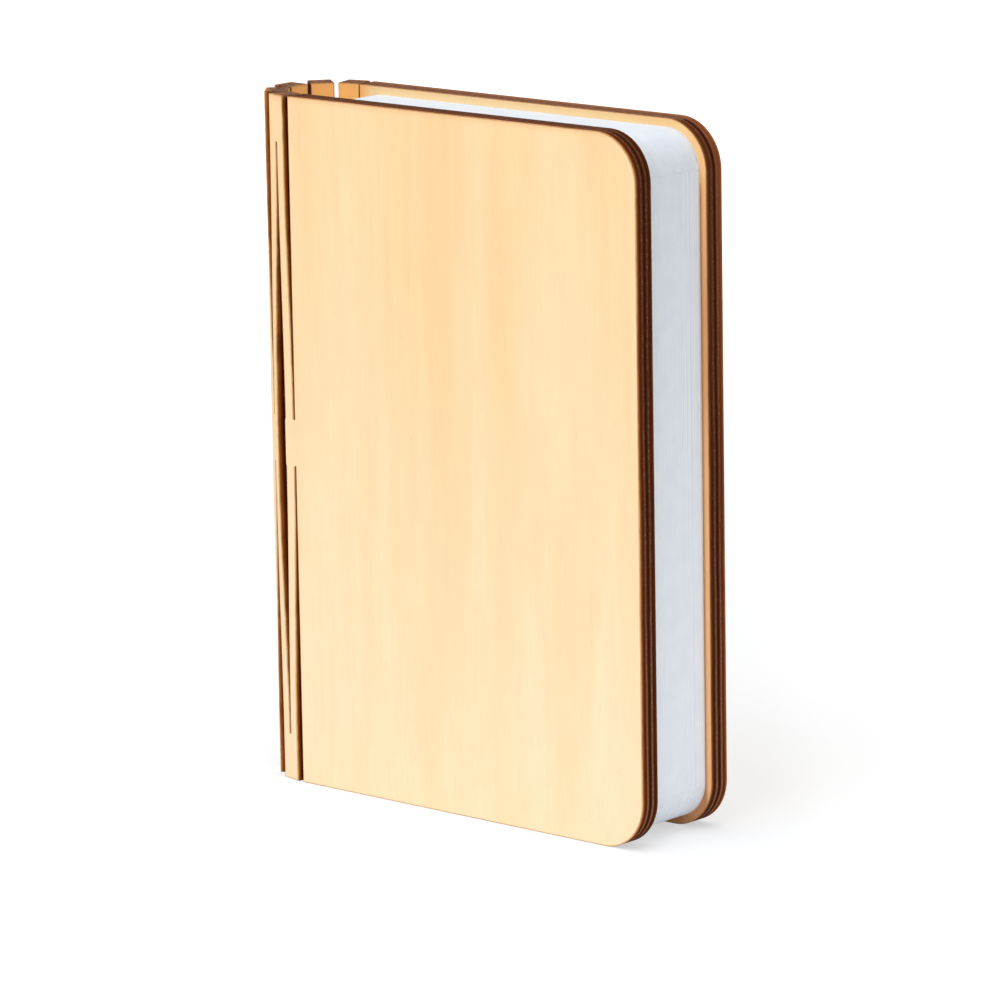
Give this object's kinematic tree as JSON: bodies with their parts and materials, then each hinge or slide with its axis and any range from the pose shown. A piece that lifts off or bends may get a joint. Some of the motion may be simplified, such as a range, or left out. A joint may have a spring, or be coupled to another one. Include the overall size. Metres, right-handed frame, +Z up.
{
  "type": "folding book lamp",
  "caption": "Book-shaped lamp: plywood covers on a slit living-hinge spine open through a full turn, fanning a paper accordion round a rechargeable light bar.",
  "frame": {"origin": "centre of the closed book's footprint, on the surface it stands on", "axes": "+X towards the fore-edge, the spine at -X; the front cover faces -Y; +Z up, foot to head"},
  "size_m": [0.09, 0.0226, 0.122],
  "materials": {
    "plywood": "fine sanded pale plywood, laser-cut edges scorched dark brown",
    "paper": "matt white water-resistant paper",
    "white_plastic": "fine satin moulding",
    "diffuser": "milky, light-spreading",
    "light_board": "white solder mask",
    "diode": "yellow phosphor resin",
    "cell_sleeve": "shrink sleeve",
    "lead": "insulated wire",
    "circuit_board": "green solder mask",
    "brass_pin": "plated",
    "steel": "nickel plated",
    "reed_glass": "clear green glass tube",
    "magnet": "nickel-plated magnet"
  },
  "bodies": {
    "spine_middle": {"spine_segment_3": "plywood", "hinge_strip_05": "plywood", "hinge_strip_06": "plywood", "paper_fold_5": "paper", "bar_housing": "white_plastic", "bar_diffuser": "diffuser", "foot_cap": "white_plastic", "head_cap": "white_plastic", "light_board": "light_board", "light_diodes": "diode", "battery_cell": "cell_sleeve", "battery_leads": "lead", "charging_board": "circuit_board", "board_pins": "brass_pin", "charging_socket": "steel", "reed_switch": "reed_glass", "cap_screws": "steel"},
    "link_4": {"spine_bridge_2": "plywood", "paper_fold_4": "paper"},
    "link_3": {"spine_segment_2": "plywood", "hinge_strip_03": "plywood", "hinge_strip_04": "plywood", "paper_fold_3": "paper"},
    "link_2": {"spine_bridge_1": "plywood", "paper_fold_2": "paper"},
    "link_1": {"spine_segment_1": "plywood", "hinge_strip_01": "plywood", "hinge_strip_02": "plywood", "paper_fold_1": "paper"},
    "front_board": {"front_cover": "plywood", "front_endpaper": "paper", "front_magnets": "magnet"},
    "link_6": {"spine_bridge_3": "plywood", "paper_fold_6": "paper"},
    "link_7": {"spine_segment_4": "plywood", "hinge_strip_07": "plywood", "hinge_strip_08": "plywood", "paper_fold_7": "paper"},
    "link_8": {"spine_bridge_4": "plywood", "paper_fold_8": "paper"},
    "link_9": {"spine_segment_5": "plywood", "hinge_strip_09": "plywood", "hinge_strip_10": "plywood", "paper_fold_9": "paper"},
    "back_board": {"back_cover": "plywood", "back_endpaper": "paper", "back_magnets": "magnet", "switch_magnet": "magnet"}
  },
  "joints": [
    {"name": "bend_05", "type": "hinge", "parent": "spine_middle", "child": "link_4", "pos_m": [-0.04286, -0.00153, 0.061], "axis": [0, 0, -1], "range_deg": [0, 38], "deforming": ["hinge_strip_05"]},
    {"name": "bend_04", "type": "hinge", "parent": "link_4", "child": "link_3", "pos_m": [-0.04187, -0.00441, 0.061], "axis": [0, 0, -1], "range_deg": [0, 38], "deforming": ["hinge_strip_04"]},
    {"name": "bend_03", "type": "hinge", "parent": "link_3", "child": "link_2", "pos_m": [-0.03999, -0.00681, 0.061], "axis": [0, 0, -1], "range_deg": [0, 38], "deforming": ["hinge_strip_03"]},
    {"name": "bend_02", "type": "hinge", "parent": "link_2", "child": "link_1", "pos_m": [-0.03743, -0.00847, 0.061], "axis": [0, 0, -1], "range_deg": [0, 38], "deforming": ["hinge_strip_02"]},
    {"name": "bend_01", "type": "hinge", "parent": "link_1", "child": "front_board", "pos_m": [-0.03447, -0.00921, 0.061], "axis": [0, 0, -1], "range_deg": [0, 28], "deforming": ["hinge_strip_01"]},
    {"name": "bend_06", "type": "hinge", "parent": "spine_middle", "child": "link_6", "pos_m": [-0.04286, 0.00153, 0.061], "axis": [0, 0, 1], "range_deg": [0, 38], "deforming": ["hinge_strip_06"]},
    {"name": "bend_07", "type": "hinge", "parent": "link_6", "child": "link_7", "pos_m": [-0.04187, 0.00441, 0.061], "axis": [0, 0, 1], "range_deg": [0, 38], "deforming": ["hinge_strip_07"]},
    {"name": "bend_08", "type": "hinge", "parent": "link_7", "child": "link_8", "pos_m": [-0.03999, 0.00681, 0.061], "axis": [0, 0, 1], "range_deg": [0, 38], "deforming": ["hinge_strip_08"]},
    {"name": "bend_09", "type": "hinge", "parent": "link_8", "child": "link_9", "pos_m": [-0.03743, 0.00847, 0.061], "axis": [0, 0, 1], "range_deg": [0, 38], "deforming": ["hinge_strip_09"]},
    {"name": "bend_10", "type": "hinge", "parent": "link_9", "child": "back_board", "pos_m": [-0.03447, 0.00921, 0.061], "axis": [0, 0, 1], "range_deg": [0, 28], "deforming": ["hinge_strip_10"]}
  ],
  "couplings": [
    {"joint": "bend_04", "follows": "bend_05", "ratio": 1},
    {"joint": "bend_03", "follows": "bend_05", "ratio": 1},
    {"joint": "bend_02", "follows": "bend_05", "ratio": 1},
    {"joint": "bend_01", "follows": "bend_05", "ratio": 0.73684},
    {"joint": "bend_06", "follows": "bend_05", "ratio": 1},
    {"joint": "bend_07", "follows": "bend_05", "ratio": 1},
    {"joint": "bend_08", "follows": "bend_05", "ratio": 1},
    {"joint": "bend_09", "follows": "bend_05", "ratio": 1},
    {"joint": "bend_10", "follows": "bend_05", "ratio": 0.73684}
  ]
}
